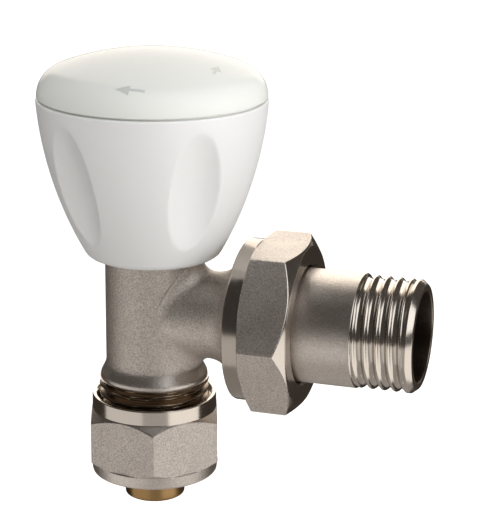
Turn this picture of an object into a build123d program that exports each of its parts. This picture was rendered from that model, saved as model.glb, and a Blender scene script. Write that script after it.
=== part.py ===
from build123d import *
import os
from math import asin, cos, hypot, radians, sin, sqrt, tan

# Angle radiator valve: hand wheel, union tail for the radiator and compression joint for the pipe.
# Millimetres. +Z is up along the spindle and +X runs along the radiator tail. The origin is at the lower
# end of the pipe insert, on the spindle axis. The valve is modelled closed, with both nuts tight.

# Pipe threads and machine threads, by their major diameter
TAIL_THREAD = 20.955
PIPE_THREAD = 20.955
UNION_THREAD = 26.441
BONNET_THREAD = 15.2
SPINDLE_THREAD = 8.0
WHEEL_SCREW_THREAD = 4.0
WASHER_SCREW_THREAD = 2.5

# Clearances
THREAD_GAP = 0.06
RUNNING_GAP = 0.05
SEAL_GAP = 0.03
FACE_GAP = 0.05
FIXED_GAP = 0.04

# Valve body
BODY_DROP = 24.6
BODY_RISE = 14.8
BODY_REACH = 24.3
BARREL_DIAMETER = 18.3
PIPE_THREAD_LENGTH = 11.4
PIPE_THREAD_LEAD_IN = 1.0
COLLAR_DIAMETER = 20.4
COLLAR_HEIGHT = 0.8
COLLAR_FLARE = 2.0
NECK_DIAMETER = 16.5
NECK_END_DIAMETER = 23.7
NECK_FLARE = 5.5
NECK_RELIEF = 1.0
UNION_THREAD_LENGTH = 5.8
INLET_BORE = 14.0
INLET_DEPTH = 7.4
SEAT_BORE = 9.6
SEAT_LAND = 1.2
SEAT_HEIGHT = 0.8
SEAT_DROP = 6.0
CHAMBER_BORE = 14.6
OUTLET_BORE = 11.0

# Bonnet
BONNET_DEPTH = 8.0
BONNET_HEX = 17.0
BONNET_HEX_HEIGHT = 5.0
BONNET_NECK_DIAMETER = 12.4
BONNET_NECK_HEIGHT = 6.0
BONNET_NUT_LENGTH = 9.4
BONNET_SEAL_SECTION = 1.3
BONNET_SEAL_HEIGHT = 1.9

# Spindle, with the stroke of the valve
LIFT = 4.0
LIFT_GAP = 0.2
STEM_DIAMETER = 6.0
SPINDLE_THREAD_LENGTH = 7.5
STEM_SEAL_SECTION = 1.1
STEM_SEAL_SPACING = 2.4
STEM_SEAL_OFFSET = 1.3
BUTTON_DIAMETER = 5.2
BUTTON_HEIGHT = 1.5
BUTTON_NECK_DIAMETER = 3.6
DRIVE_SQUARE = 5.0
DRIVE_LENGTH = 4.9
SCREW_DEPTH = 8.0

# Seat washer and its holder
WASHER_DIAMETER = 12.8
WASHER_THICKNESS = 2.4
HOLDER_DIAMETER = 13.2
HOLDER_FLANGE = 1.6
HOLDER_BOSS_DIAMETER = 9.0
HOLDER_HEIGHT = 6.2
SOCKET_DEPTH = 2.8
SNAP_RING_SECTION = 0.6
WASHER_SCREW_LENGTH = 2.6
WASHER_SCREW_HEAD = 4.6
WASHER_SCREW_HEAD_HEIGHT = 1.1

# Tailpiece
TAIL_SPIGOT_DIAMETER = 16.6
TAIL_SPIGOT_LENGTH = 4.0
TAIL_SEAL_SECTION = 1.5
TAIL_FLANGE_STEP = 1.35
TAIL_FLANGE = 2.7
TUBE_DIAMETER = 21.3
TUBE_LENGTH = 13.8
TAIL_THREAD_LENGTH = 9.7
TAIL_END_RING = 1.6
TAIL_END_CHAMFER = 0.6
TAIL_BORE = 11.2
TAIL_MOUTH = 16.84
TAIL_MOUTH_DEPTH = 12.0
TAIL_KEY_HEX = 13.0
TAIL_KEY_DEPTH = 9.0

# Union nut
UNION_HEX = 30.0
UNION_HEX_ANGLE = 27.0
UNION_NUT_LENGTH = 12.0
UNION_NUT_LIP = 3.15
UNION_COLLAR_DIAMETER = 30.4
UNION_COLLAR_LENGTH = 2.85
UNION_END_DIAMETER = 29.2
UNION_HOLE_GAP = 0.4
UNION_HOLE_BEVEL = 0.4
UNION_CHAMFER_ANGLE = 20.0

# Pipe insert
SPIGOT_DIAMETER = 11.5
SPIGOT_LENGTH = 11.85
SPIGOT_BORE = 8.2
SPIGOT_SEAL_SECTION = 1.2
SPIGOT_SEAL_HEIGHT = 6.6
SPIGOT_SEAL_SPACING = 2.2
INSERT_FLANGE_DIAMETER = 18.0
INSERT_FLANGE = 1.0
PILOT_LENGTH = 5.6
PILOT_SEAL_SECTION = 1.5
PILOT_SEAL_HEIGHT = 2.6
INSULATOR_THICKNESS = 0.7

# Compression nut and split ring
PIPE_HEX = 24.0
PIPE_HEX_ANGLE = 19.0
PIPE_CHAMFER_ANGLE = 36.0
PIPE_NUT_HEIGHT = 15.75
PIPE_NUT_OVERLAP = 8.1
PIPE_NUT_COLLAR_DIAMETER = 23.8
PIPE_NUT_COLLAR = 2.9
PIPE_NUT_FOOT_DIAMETER = 24.0
PIPE_NUT_BAND_DIAMETER = 24.7
PIPE_NUT_BAND = 2.4
PIPE_NUT_BEVEL = 0.7
PIPE_HOLE = 16.5
PIPE_HOLE_LIP = 1.7
RING_CONE_HEIGHT = 2.6
RING_CONE_DIAMETER = 19.2
RING_BORE = 16.1
RING_LIFT = 0.4
RING_SLOT = 1.6

# Hand wheel
WHEEL_RISE = 11.1
WHEEL_HEIGHT = 29.8
WHEEL_FOOT_DIAMETER = 24.8
WHEEL_RIM_DIAMETER = 43.0
WHEEL_BULGE = 1.85
WHEEL_FOOT_ROUND = 1.2
WHEEL_WALL = 3.0
WHEEL_SLEEVE_BORE = 20.8
WHEEL_SLEEVE_WALL = 1.8
WHEEL_CAVITY_FLOOR = 7.5
WHEEL_WEB = 2.0
WHEEL_HUB_DIAMETER = 11.0
WHEEL_RIB = 1.6
HUB_GAP = 0.4
HUB_ROOF = 1.6
FLUTE_COUNT = 5
FLUTE_ANGLE = 43.7
FLUTE_RADIUS = 11.0
FLUTE_BOW = 120.0
FLUTE_FOOT = 4.2
FLUTE_TOP = 2.6

# Cap of the hand wheel
CAP_STEP = 0.2
CAP_GAP = 0.12
CAP_EDGE = 0.48
CAP_DOME_RADIUS = 52.0
CAP_SHOULDER = 5.5
CAP_WALL = 1.8
CAP_SKIRT_DEPTH = 2.5
CAP_SKIRT_WALL = 1.2
CAP_NOTCH_ANGLE = 53.2
CAP_NOTCH_RADIUS = 0.6

# Screw of the hand wheel
WHEEL_SCREW_HEAD = 7.0
WHEEL_SCREW_HEAD_HEIGHT = 2.4
WHEEL_SCREW_KEY = 2.5
WHEEL_SCREW_KEY_DEPTH = 1.4
SCREW_WASHER_DIAMETER = 9.0
SCREW_WASHER_THICKNESS = 0.8

# Heights on the spindle axis
foot_z = SPIGOT_LENGTH + INSERT_FLANGE
outlet_z = foot_z + BODY_DROP
barrel_top = outlet_z + BODY_RISE
seat_z = outlet_z - SEAT_DROP
bonnet_foot = barrel_top - BONNET_DEPTH
bonnet_hex_top = barrel_top + BONNET_HEX_HEIGHT
bonnet_top = bonnet_hex_top + BONNET_NECK_HEIGHT
spindle_stop = bonnet_foot + BONNET_NUT_LENGTH
hub_foot = bonnet_top + HUB_GAP
drive_top = hub_foot + DRIVE_LENGTH
hub_top = drive_top + FACE_GAP + HUB_ROOF
wheel_foot = outlet_z + WHEEL_RISE
wheel_rim = wheel_foot + WHEEL_HEIGHT
holder_foot = seat_z + WASHER_THICKNESS
holder_top = holder_foot + HOLDER_HEIGHT
socket_floor = holder_top - SOCKET_DEPTH
button_top = socket_floor + FACE_GAP + BUTTON_HEIGHT
pipe_nut_top = foot_z + PIPE_NUT_OVERLAP
pipe_nut_foot = pipe_nut_top - PIPE_NUT_HEIGHT

# Stations on the outlet axis
tail_seat = BODY_REACH + FACE_GAP
tail_flange_back = tail_seat + TAIL_FLANGE
tail_thread_start = tail_flange_back + TUBE_LENGTH
tail_ring_start = tail_thread_start + TAIL_THREAD_LENGTH
tail_end = tail_ring_start + TAIL_END_RING
union_end = tail_flange_back + FACE_GAP + UNION_NUT_LIP
union_start = union_end - UNION_NUT_LENGTH
union_thread_start = BODY_REACH - UNION_THREAD_LENGTH

OUTLET = Pos(0, 0, outlet_z)


def outline(*corners):
    """Face in the XZ plane with straight sides."""
    return Plane.XZ * make_face(Polyline(*corners, close=True))


def turned(*corners):
    """Solid of revolution about the spindle axis, from (radius, height) corners."""
    return revolve(outline(*corners), Axis.Z)


def turned_along(*corners):
    """Solid of revolution about the outlet axis, from (station, radius) corners."""
    return OUTLET * revolve(outline(*corners), Axis.X)


def rod(diameter, low, high):
    """Upright cylinder between two heights."""
    return Pos(0, 0, low) * extrude(Circle(diameter / 2), high - low)


def rod_along(diameter, start, end):
    """Cylinder on the outlet axis between two stations."""
    return OUTLET * Rot(0, 90, 0) * rod(diameter, start, end)


def hexagon(across_flats, low, high, angle):
    """Upright hexagonal bar between two heights, a corner turned by angle from +X."""
    section = Rot(0, 0, angle) * RegularPolygon(across_flats / 2, 6, major_radius=False)
    return Pos(0, 0, low) * extrude(section, high - low)


def o_ring(inner_radius, outer_radius, height):
    """Round seal that fills the room between two radii, less the seal gap on each side."""
    section = (outer_radius - inner_radius) / 2 - SEAL_GAP
    return Pos(0, 0, height) * Torus((inner_radius + outer_radius) / 2, section)


def groove(inner_radius, outer_radius, height, section):
    """Ring cut from a shaft for a seal, wider than the seal by the seal gap on each side."""
    half = section / 2 + SEAL_GAP
    reach = outer_radius + section
    return turned(
        (inner_radius, height - half),
        (reach, height - half),
        (reach, height + half),
        (inner_radius, height + half),
    )


def chamfer_depth(across_flats, radius, angle):
    """Axial depth of a hexagon's chamfer, from its corners in to a radius."""
    corner = across_flats / sqrt(3)
    return (corner - radius) * tan(radians(angle))


def valve_body():
    thread = PIPE_THREAD / 2
    collar_foot = foot_z + PIPE_THREAD_LENGTH
    collar_top = collar_foot + COLLAR_HEIGHT
    barrel = turned(
        (0, foot_z),
        (thread - PIPE_THREAD_LEAD_IN, foot_z),
        (thread, foot_z + PIPE_THREAD_LEAD_IN),
        (thread, collar_foot),
        (COLLAR_DIAMETER / 2, collar_foot),
        (COLLAR_DIAMETER / 2, collar_top),
        (BARREL_DIAMETER / 2, collar_top + COLLAR_FLARE),
        (BARREL_DIAMETER / 2, barrel_top),
        (0, barrel_top),
    )
    flare_end = union_thread_start - NECK_RELIEF
    neck = rod_along(NECK_DIAMETER, 0, flare_end) + neck_flare(flare_end - NECK_FLARE)
    neck += rod_along(NECK_END_DIAMETER, flare_end, union_thread_start)
    union_thread = rod_along(UNION_THREAD, union_thread_start, BODY_REACH)
    solid = barrel + neck + union_thread
    chamber_floor = seat_z - SEAT_HEIGHT
    chamber = rod(CHAMBER_BORE, chamber_floor, bonnet_foot)
    seat = rod(SEAT_BORE + 2 * SEAT_LAND, chamber_floor, seat_z)
    outlet = rod_along(OUTLET_BORE, 0, BODY_REACH)
    solid -= chamber - seat
    solid -= outlet - rod(BARREL_DIAMETER, foot_z, seat_z)
    solid -= rod(SEAT_BORE, foot_z, seat_z)
    solid -= rod(INLET_BORE, foot_z, foot_z + INLET_DEPTH)
    solid -= rod(BONNET_THREAD, bonnet_foot, barrel_top)
    spigot_room = TAIL_SPIGOT_LENGTH + FACE_GAP
    solid -= rod_along(TAIL_SPIGOT_DIAMETER + 2 * RUNNING_GAP, BODY_REACH - spigot_room, BODY_REACH)
    return solid


def neck_flare(start):
    """Hollow-sided flare from the neck up to the relief of the union thread."""
    neck = NECK_DIAMETER / 2
    end = NECK_END_DIAMETER / 2
    side = Polyline((start + NECK_FLARE, end), (start + NECK_FLARE, 0), (start, 0), (start, neck))
    hollow = TangentArc((start, neck), (start + NECK_FLARE, end), tangent=(1, 0))
    return OUTLET * revolve(Plane.XZ * make_face([side, hollow]), Axis.X)


def bonnet():
    shank = BONNET_THREAD / 2 - FIXED_GAP
    neck = BONNET_NECK_DIAMETER / 2
    bevel = (neck - STEM_DIAMETER / 2) / 4
    solid = turned(
        (0, bonnet_foot),
        (shank, bonnet_foot),
        (shank, barrel_top),
        (neck, barrel_top),
        (neck, bonnet_top - bevel),
        (neck - bevel, bonnet_top),
        (0, bonnet_top),
    )
    solid += hexagon(BONNET_HEX, barrel_top, bonnet_hex_top, 0)
    root = shank - BONNET_SEAL_SECTION
    solid -= groove(root, shank, bonnet_foot + BONNET_SEAL_HEIGHT, BONNET_SEAL_SECTION)
    solid -= rod(SPINDLE_THREAD + 2 * THREAD_GAP, bonnet_foot, spindle_stop)
    solid -= rod(STEM_DIAMETER + 2 * RUNNING_GAP, spindle_stop, bonnet_top)
    return solid


def bonnet_o_ring():
    wall = BONNET_THREAD / 2
    root = wall - FIXED_GAP - BONNET_SEAL_SECTION
    return o_ring(root, wall, bonnet_foot + BONNET_SEAL_HEIGHT)


def stem_seal_heights():
    first = spindle_stop + STEM_SEAL_OFFSET
    return [first, first + STEM_SEAL_SPACING]


def spindle():
    thread_top = spindle_stop - LIFT - LIFT_GAP
    thread_foot = thread_top - SPINDLE_THREAD_LENGTH
    stem = STEM_DIAMETER / 2
    thread = SPINDLE_THREAD / 2
    button = BUTTON_DIAMETER / 2
    neck = BUTTON_NECK_DIAMETER / 2
    button_foot = socket_floor + FACE_GAP
    solid = turned(
        (0, button_foot),
        (button, button_foot),
        (button, button_top),
        (neck, button_top),
        (neck, thread_foot - (thread - neck)),
        (thread, thread_foot),
        (thread, thread_top),
        (stem, thread_top),
        (stem, hub_foot),
        (0, hub_foot),
    )
    square = extrude(Rectangle(DRIVE_SQUARE, DRIVE_SQUARE) & Circle(stem), DRIVE_LENGTH)
    solid += Pos(0, 0, hub_foot) * square
    for height in stem_seal_heights():
        solid -= groove(stem - STEM_SEAL_SECTION, stem, height, STEM_SEAL_SECTION)
    solid -= rod(WHEEL_SCREW_THREAD, drive_top - SCREW_DEPTH, drive_top)
    return solid


def spindle_o_rings():
    wall = STEM_DIAMETER / 2 + RUNNING_GAP
    root = STEM_DIAMETER / 2 - STEM_SEAL_SECTION
    return Part() + [o_ring(root, wall, height) for height in stem_seal_heights()]


def holder_socket():
    """Room in the holder for the spindle's button and the snap ring above it."""
    bore = BUTTON_DIAMETER / 2 + 2 * RUNNING_GAP
    ring_foot = button_top + FACE_GAP
    ring_room = SNAP_RING_SECTION + 2 * FACE_GAP
    return turned(
        (0, socket_floor),
        (bore, socket_floor),
        (bore, ring_foot),
        (bore + SNAP_RING_SECTION, ring_foot),
        (bore + SNAP_RING_SECTION, ring_foot + ring_room),
        (bore, ring_foot + ring_room),
        (bore, holder_top),
        (0, holder_top),
    )


def disc_holder():
    solid = turned(
        (0, holder_foot),
        (HOLDER_DIAMETER / 2, holder_foot),
        (HOLDER_DIAMETER / 2, holder_foot + HOLDER_FLANGE),
        (HOLDER_BOSS_DIAMETER / 2, holder_foot + HOLDER_FLANGE),
        (HOLDER_BOSS_DIAMETER / 2, holder_top),
        (0, holder_top),
    )
    solid -= holder_socket()
    solid -= rod(WASHER_SCREW_THREAD, holder_foot, holder_foot + WASHER_SCREW_LENGTH)
    return solid


def holder_snap_ring():
    outer = BUTTON_DIAMETER / 2 + 2 * RUNNING_GAP + SNAP_RING_SECTION - FIXED_GAP
    inner = BUTTON_NECK_DIAMETER / 2 + 2 * RUNNING_GAP
    low = button_top + 2 * FACE_GAP
    ring = rod(2 * outer, low, low + SNAP_RING_SECTION) - rod(2 * inner, low, low + SNAP_RING_SECTION)
    mouth = Box(2 * outer, 2 * SNAP_RING_SECTION, SNAP_RING_SECTION)
    return ring - Pos(outer, 0, low + SNAP_RING_SECTION / 2) * mouth


def seat_washer():
    bore = WASHER_SCREW_THREAD + 2 * FIXED_GAP
    return rod(WASHER_DIAMETER, seat_z, holder_foot) - rod(bore, seat_z, holder_foot)


def washer_screw():
    shank = WASHER_SCREW_THREAD / 2 - FIXED_GAP
    head = WASHER_SCREW_HEAD / 2
    round_off = WASHER_SCREW_HEAD_HEIGHT / 2
    solid = turned(
        (0, seat_z - WASHER_SCREW_HEAD_HEIGHT),
        (head - round_off, seat_z - WASHER_SCREW_HEAD_HEIGHT),
        (head, seat_z - round_off),
        (head, seat_z),
        (shank, seat_z),
        (shank, holder_foot + WASHER_SCREW_LENGTH - FIXED_GAP),
        (0, holder_foot + WASHER_SCREW_LENGTH - FIXED_GAP),
    )
    slot = Box(WASHER_SCREW_HEAD, shank / 2, round_off)
    return solid - Pos(0, 0, seat_z - WASHER_SCREW_HEAD_HEIGHT) * slot


def wheel_side(height, inset):
    """Radius of the hand wheel's curved side at a height, less an inset."""
    foot = WHEEL_FOOT_DIAMETER / 2
    rim = WHEEL_RIM_DIAMETER / 2
    middle = (foot + rim) / 2 + WHEEL_BULGE
    half = WHEEL_HEIGHT / 2
    # centre of the circle through the side's foot, middle and rim, measured from the middle point
    low_r, high_r = foot - middle, rim - middle
    low_square = low_r ** 2 + half ** 2
    high_square = high_r ** 2 + half ** 2
    centre_r = (low_square + high_square) / (2 * (low_r + high_r))
    centre_z = (high_square - 2 * high_r * centre_r) / (2 * half)
    radius = hypot(centre_r, centre_z)
    above_centre = height - (wheel_foot + half) - centre_z
    return middle + centre_r + sqrt(radius ** 2 - above_centre ** 2) - inset


def wheel_arc(low, high, inset):
    """The side's arc between two heights, drawn in the XZ plane."""
    heights = [low, (low + high) / 2, high]
    return ThreePointArc(*[(wheel_side(height, inset), height) for height in heights])


def wheel_cavity():
    """Room between the hand wheel's side and its sleeve, open at the top under the cap."""
    low = wheel_foot + WHEEL_CAVITY_FLOOR
    sleeve = WHEEL_SLEEVE_BORE / 2 + WHEEL_SLEEVE_WALL
    side = wheel_arc(low, wheel_rim, WHEEL_WALL)
    inside = Polyline(side @ 1, (0, wheel_rim), (0, hub_top), (sleeve, hub_top), (sleeve, low), side @ 0)
    return revolve(Plane.XZ * make_face([side, inside]), Axis.Z)


def wheel_flute(angle):
    """Cutter of one finger flute: a bowed rod that cuts deepest half way between the flute's two ends."""
    low = wheel_foot + FLUTE_FOOT
    high = wheel_rim - FLUTE_TOP
    start = Vector(wheel_side(low, 0), 0, low)
    end = Vector(wheel_side(high, 0), 0, high)
    along = (end - start).normalized()
    outward = Vector(along.Z, 0, -along.X)
    rise = sqrt(FLUTE_BOW ** 2 - ((end - start).length / 2) ** 2)
    centre = (start + end) / 2 + outward * rise
    lie = Plane(origin=centre, x_dir=outward, z_dir=(0, 1, 0))
    return Rot(0, 0, angle) * lie * Torus(FLUTE_BOW - FLUTE_RADIUS, FLUTE_RADIUS)


def handwheel():
    side = wheel_arc(wheel_foot, wheel_rim, 0)
    inside = Polyline(side @ 1, (0, wheel_rim), (0, wheel_foot), side @ 0)
    face = make_face([side, inside])
    corner = face.vertices().sort_by_distance((WHEEL_FOOT_DIAMETER / 2, wheel_foot))[0]
    solid = revolve(Plane.XZ * fillet(corner, WHEEL_FOOT_ROUND), Axis.Z)
    for number in range(FLUTE_COUNT):
        solid -= wheel_flute(FLUTE_ANGLE - 90 + number * 360 / FLUTE_COUNT)
    cavity = wheel_cavity()
    solid -= cavity
    web_foot = hub_top - WHEEL_WEB
    well = rod(WHEEL_SLEEVE_BORE, wheel_foot, web_foot)
    solid -= well - rod(WHEEL_HUB_DIAMETER, hub_foot, web_foot)
    rib_corner = (Align.MIN, Align.CENTER, Align.MIN)
    rib = Box(WHEEL_RIM_DIAMETER / 2, WHEEL_RIB, hub_top - wheel_foot, align=rib_corner)
    rib = (Pos(0, 0, wheel_foot) * rib) & cavity
    for number in range(FLUTE_COUNT):
        solid += Rot(0, 0, FLUTE_ANGLE - 90 + (number + 0.5) * 360 / FLUTE_COUNT) * rib
    square = DRIVE_SQUARE + 2 * FIXED_GAP
    drive = Rectangle(square, square) & Circle(STEM_DIAMETER / 2 + FIXED_GAP)
    solid -= Pos(0, 0, hub_foot) * extrude(drive, DRIVE_LENGTH + FACE_GAP)
    solid -= rod(WHEEL_SCREW_THREAD + 4 * FIXED_GAP, hub_foot, hub_top)
    return solid


def handwheel_cap():
    wall = WHEEL_RIM_DIAMETER / 2 - CAP_STEP
    skirt_foot = wheel_rim - CAP_SKIRT_DEPTH
    skirt = wheel_side(skirt_foot, WHEEL_WALL) - CAP_GAP
    bore = skirt - CAP_SKIRT_WALL
    # the dome's centre, from the shoulder arc that meets it and the straight edge below
    edge = wheel_rim + CAP_EDGE
    turn = wall - CAP_SHOULDER
    centre = edge - sqrt((CAP_DOME_RADIUS - CAP_SHOULDER) ** 2 - turn ** 2)
    slope = asin(turn / (CAP_DOME_RADIUS - CAP_SHOULDER))
    meet = (CAP_DOME_RADIUS * sin(slope), centre + CAP_DOME_RADIUS * cos(slope))
    apex = centre + CAP_DOME_RADIUS
    dome = RadiusArc((0, apex), meet, CAP_DOME_RADIUS)
    shoulder = RadiusArc(meet, (wall, edge), CAP_SHOULDER)
    shell = Polyline(
        (wall, edge), (wall, wheel_rim), (skirt, wheel_rim), (skirt, skirt_foot), (0, skirt_foot), (0, apex)
    )
    solid = revolve(Plane.XZ * make_face([dome, shoulder, shell]), Axis.Z)
    ceiling = CAP_DOME_RADIUS - CAP_WALL
    bore_top = centre + sqrt(ceiling ** 2 - bore ** 2)
    inner = RadiusArc((0, centre + ceiling), (bore, bore_top), ceiling)
    room = Polyline((bore, bore_top), (bore, skirt_foot), (0, skirt_foot), (0, centre + ceiling))
    solid -= revolve(Plane.XZ * make_face([inner, room]), Axis.Z)
    notch = Rot(0, 90, 0) * rod(2 * CAP_NOTCH_RADIUS, wall - CAP_NOTCH_RADIUS, wall + CAP_NOTCH_RADIUS)
    return solid - Rot(0, 0, CAP_NOTCH_ANGLE - 90) * Pos(0, 0, wheel_rim) * notch


def handwheel_screw():
    seat = hub_top + SCREW_WASHER_THICKNESS
    shank = WHEEL_SCREW_THREAD / 2 - FIXED_GAP
    head = WHEEL_SCREW_HEAD / 2
    round_off = WHEEL_SCREW_HEAD_HEIGHT / 3
    solid = turned(
        (0, drive_top - SCREW_DEPTH + FACE_GAP),
        (shank, drive_top - SCREW_DEPTH + FACE_GAP),
        (shank, seat),
        (head, seat),
        (head, seat + WHEEL_SCREW_HEAD_HEIGHT - round_off),
        (head - round_off, seat + WHEEL_SCREW_HEAD_HEIGHT),
        (0, seat + WHEEL_SCREW_HEAD_HEIGHT),
    )
    top = seat + WHEEL_SCREW_HEAD_HEIGHT
    return solid - hexagon(WHEEL_SCREW_KEY, top - WHEEL_SCREW_KEY_DEPTH, top, 0)


def screw_washer():
    top = hub_top + SCREW_WASHER_THICKNESS
    hole = WHEEL_SCREW_THREAD + 2 * FIXED_GAP
    return rod(SCREW_WASHER_DIAMETER, hub_top, top) - rod(hole, hub_top, top)


def tail_seal_station():
    return tail_seat - TAIL_SPIGOT_LENGTH / 2


def tailpiece():
    spigot = TAIL_SPIGOT_DIAMETER / 2
    flange = TUBE_DIAMETER / 2 + TAIL_FLANGE_STEP
    thread = TAIL_THREAD / 2
    seal_half = TAIL_SEAL_SECTION / 2 + SEAL_GAP
    seal_root = spigot - TAIL_SEAL_SECTION
    solid = turned_along(
        (tail_seat - TAIL_SPIGOT_LENGTH, 0),
        (tail_seat - TAIL_SPIGOT_LENGTH, spigot),
        (tail_seal_station() - seal_half, spigot),
        (tail_seal_station() - seal_half, seal_root),
        (tail_seal_station() + seal_half, seal_root),
        (tail_seal_station() + seal_half, spigot),
        (tail_seat, spigot),
        (tail_seat, flange),
        (tail_flange_back, flange),
        (tail_flange_back, TUBE_DIAMETER / 2),
        (tail_thread_start, TUBE_DIAMETER / 2),
        (tail_thread_start, thread),
        (tail_end - TAIL_END_CHAMFER, thread),
        (tail_end, thread - TAIL_END_CHAMFER),
        (tail_end, 0),
    )
    mouth_floor = tail_end - TAIL_MOUTH_DEPTH
    solid -= rod_along(TAIL_BORE, tail_seat - TAIL_SPIGOT_LENGTH, tail_end)
    solid -= rod_along(TAIL_MOUTH, mouth_floor, tail_end)
    key = hexagon(TAIL_KEY_HEX, mouth_floor - TAIL_KEY_DEPTH, mouth_floor, 0)
    return solid - OUTLET * Rot(0, 90, 0) * key


def tail_o_ring():
    wall = TAIL_SPIGOT_DIAMETER / 2 + RUNNING_GAP
    root = TAIL_SPIGOT_DIAMETER / 2 - TAIL_SEAL_SECTION
    return OUTLET * Rot(0, 90, 0) * o_ring(root, wall, tail_seal_station())


def union_nut():
    collar = UNION_COLLAR_DIAMETER / 2
    end = UNION_END_DIAMETER / 2
    corner = UNION_HEX / sqrt(3)
    hole = TUBE_DIAMETER / 2 + UNION_HOLE_GAP
    collar_end = union_start + UNION_COLLAR_LENGTH
    collar_chamfer = chamfer_depth(UNION_HEX, collar, UNION_CHAMFER_ANGLE)
    end_chamfer = chamfer_depth(UNION_HEX, end, UNION_CHAMFER_ANGLE)
    lip = union_end - UNION_NUT_LIP
    blank = turned_along(
        (union_start, 0),
        (union_start, corner),
        (collar_end, corner),
        (collar_end, collar),
        (collar_end + collar_chamfer, corner),
        (union_end - end_chamfer, corner),
        (union_end, end),
        (union_end, 0),
    )
    # the flat that faces -Y is turned up by UNION_HEX_ANGLE
    bar = hexagon(UNION_HEX, union_start, union_end, 0)
    solid = blank & (OUTLET * Rot(-UNION_HEX_ANGLE, 0, 0) * Rot(0, 90, 0) * bar)
    solid -= rod_along(4 * collar, union_start, collar_end)
    solid += rod_along(UNION_COLLAR_DIAMETER, union_start, collar_end)
    solid -= rod_along(UNION_THREAD + 2 * THREAD_GAP, union_start, lip)
    solid -= rod_along(2 * hole, lip, union_end)
    solid -= turned_along(
        (union_end - UNION_HOLE_BEVEL, 0),
        (union_end - UNION_HOLE_BEVEL, hole),
        (union_end, hole + UNION_HOLE_BEVEL),
        (union_end, 0),
    )
    return solid


def spigot_seal_heights():
    return [SPIGOT_SEAL_HEIGHT, SPIGOT_SEAL_HEIGHT + SPIGOT_SEAL_SPACING]


def pipe_insert():
    spigot = SPIGOT_DIAMETER / 2
    flange = INSERT_FLANGE_DIAMETER / 2
    pilot = INLET_BORE / 2 - RUNNING_GAP
    top = foot_z + PILOT_LENGTH
    solid = turned(
        (0, 0),
        (spigot, 0),
        (spigot, SPIGOT_LENGTH - FACE_GAP),
        (flange, SPIGOT_LENGTH - FACE_GAP),
        (flange, foot_z - FACE_GAP),
        (pilot, foot_z - FACE_GAP),
        (pilot, top),
        (0, top),
    )
    for height in spigot_seal_heights():
        solid -= groove(spigot - SPIGOT_SEAL_SECTION, spigot, height, SPIGOT_SEAL_SECTION)
    solid -= groove(pilot - PILOT_SEAL_SECTION, pilot, foot_z + PILOT_SEAL_HEIGHT, PILOT_SEAL_SECTION)
    return solid - rod(SPIGOT_BORE, 0, top)


def insert_o_rings():
    wall = SPIGOT_DIAMETER / 2
    inner = wall - SPIGOT_SEAL_SECTION
    return Part() + [o_ring(inner, wall, height) for height in spigot_seal_heights()]


def insert_seat_o_ring():
    wall = INLET_BORE / 2
    root = wall - RUNNING_GAP - PILOT_SEAL_SECTION
    return o_ring(root, wall, foot_z + PILOT_SEAL_HEIGHT)


def insulating_washer():
    top = SPIGOT_LENGTH - FACE_GAP
    foot = top - INSULATOR_THICKNESS
    bore = SPIGOT_DIAMETER + 2 * FIXED_GAP
    return rod(INSERT_FLANGE_DIAMETER, foot, top) - rod(bore, foot, top)


def ring_cone_foot():
    return pipe_nut_foot + PIPE_HOLE_LIP


def compression_nut():
    collar = PIPE_NUT_COLLAR_DIAMETER / 2
    band = PIPE_NUT_BAND_DIAMETER / 2
    corner = PIPE_HEX / sqrt(3)
    thread = PIPE_THREAD / 2 + THREAD_GAP
    collar_foot = pipe_nut_top - PIPE_NUT_COLLAR
    band_top = pipe_nut_foot + PIPE_NUT_BAND
    cone_top = ring_cone_foot() + RING_CONE_HEIGHT
    thread_foot = SPIGOT_LENGTH - INSULATOR_THICKNESS
    blank = turned(
        (0, band_top),
        (band, band_top),
        (corner, band_top + chamfer_depth(PIPE_HEX, band, PIPE_CHAMFER_ANGLE)),
        (corner, collar_foot - chamfer_depth(PIPE_HEX, collar, PIPE_CHAMFER_ANGLE)),
        (collar, collar_foot),
        (0, collar_foot),
    )
    solid = blank & hexagon(PIPE_HEX, pipe_nut_foot, pipe_nut_top, PIPE_HEX_ANGLE - 90)
    solid += rod(PIPE_NUT_COLLAR_DIAMETER, collar_foot, pipe_nut_top)
    solid += turned(
        (0, pipe_nut_foot),
        (PIPE_NUT_FOOT_DIAMETER / 2, pipe_nut_foot),
        (band, band_top),
        (0, band_top),
    )
    return solid - turned(
        (0, pipe_nut_foot),
        (PIPE_HOLE / 2, pipe_nut_foot),
        (PIPE_HOLE / 2, ring_cone_foot()),
        (RING_CONE_DIAMETER / 2, cone_top),
        (RING_CONE_DIAMETER / 2, thread_foot),
        (thread, thread_foot),
        (thread, pipe_nut_top - PIPE_NUT_BEVEL),
        (thread + PIPE_NUT_BEVEL, pipe_nut_top),
        (0, pipe_nut_top),
    )


def split_ring():
    slope = (RING_CONE_DIAMETER - PIPE_HOLE) / 2 / RING_CONE_HEIGHT
    gap = 2 * RUNNING_GAP
    low = ring_cone_foot() + RING_LIFT
    cone_top = ring_cone_foot() + RING_CONE_HEIGHT
    top = SPIGOT_LENGTH - FACE_GAP - INSULATOR_THICKNESS
    outer = RING_CONE_DIAMETER / 2 - gap
    solid = turned(
        (RING_BORE / 2, low),
        (PIPE_HOLE / 2 + slope * RING_LIFT - gap, low),
        (outer, cone_top),
        (outer, top),
        (RING_BORE / 2, top),
    )
    return solid - Pos(outer, 0, (low + top) / 2) * Box(2 * outer, RING_SLOT, top - low)


PIECES = [
    valve_body, bonnet, bonnet_o_ring, spindle, spindle_o_rings, disc_holder, holder_snap_ring,
    seat_washer, washer_screw, handwheel, handwheel_cap, handwheel_screw, screw_washer, tailpiece,
    tail_o_ring, union_nut, pipe_insert, insert_o_rings, insert_seat_o_ring, insulating_washer,
    compression_nut, split_ring,
]

os.makedirs("parts", exist_ok=True)
for piece in PIECES:
    export_step(piece(), f"parts/{piece.__name__}.step")
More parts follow.
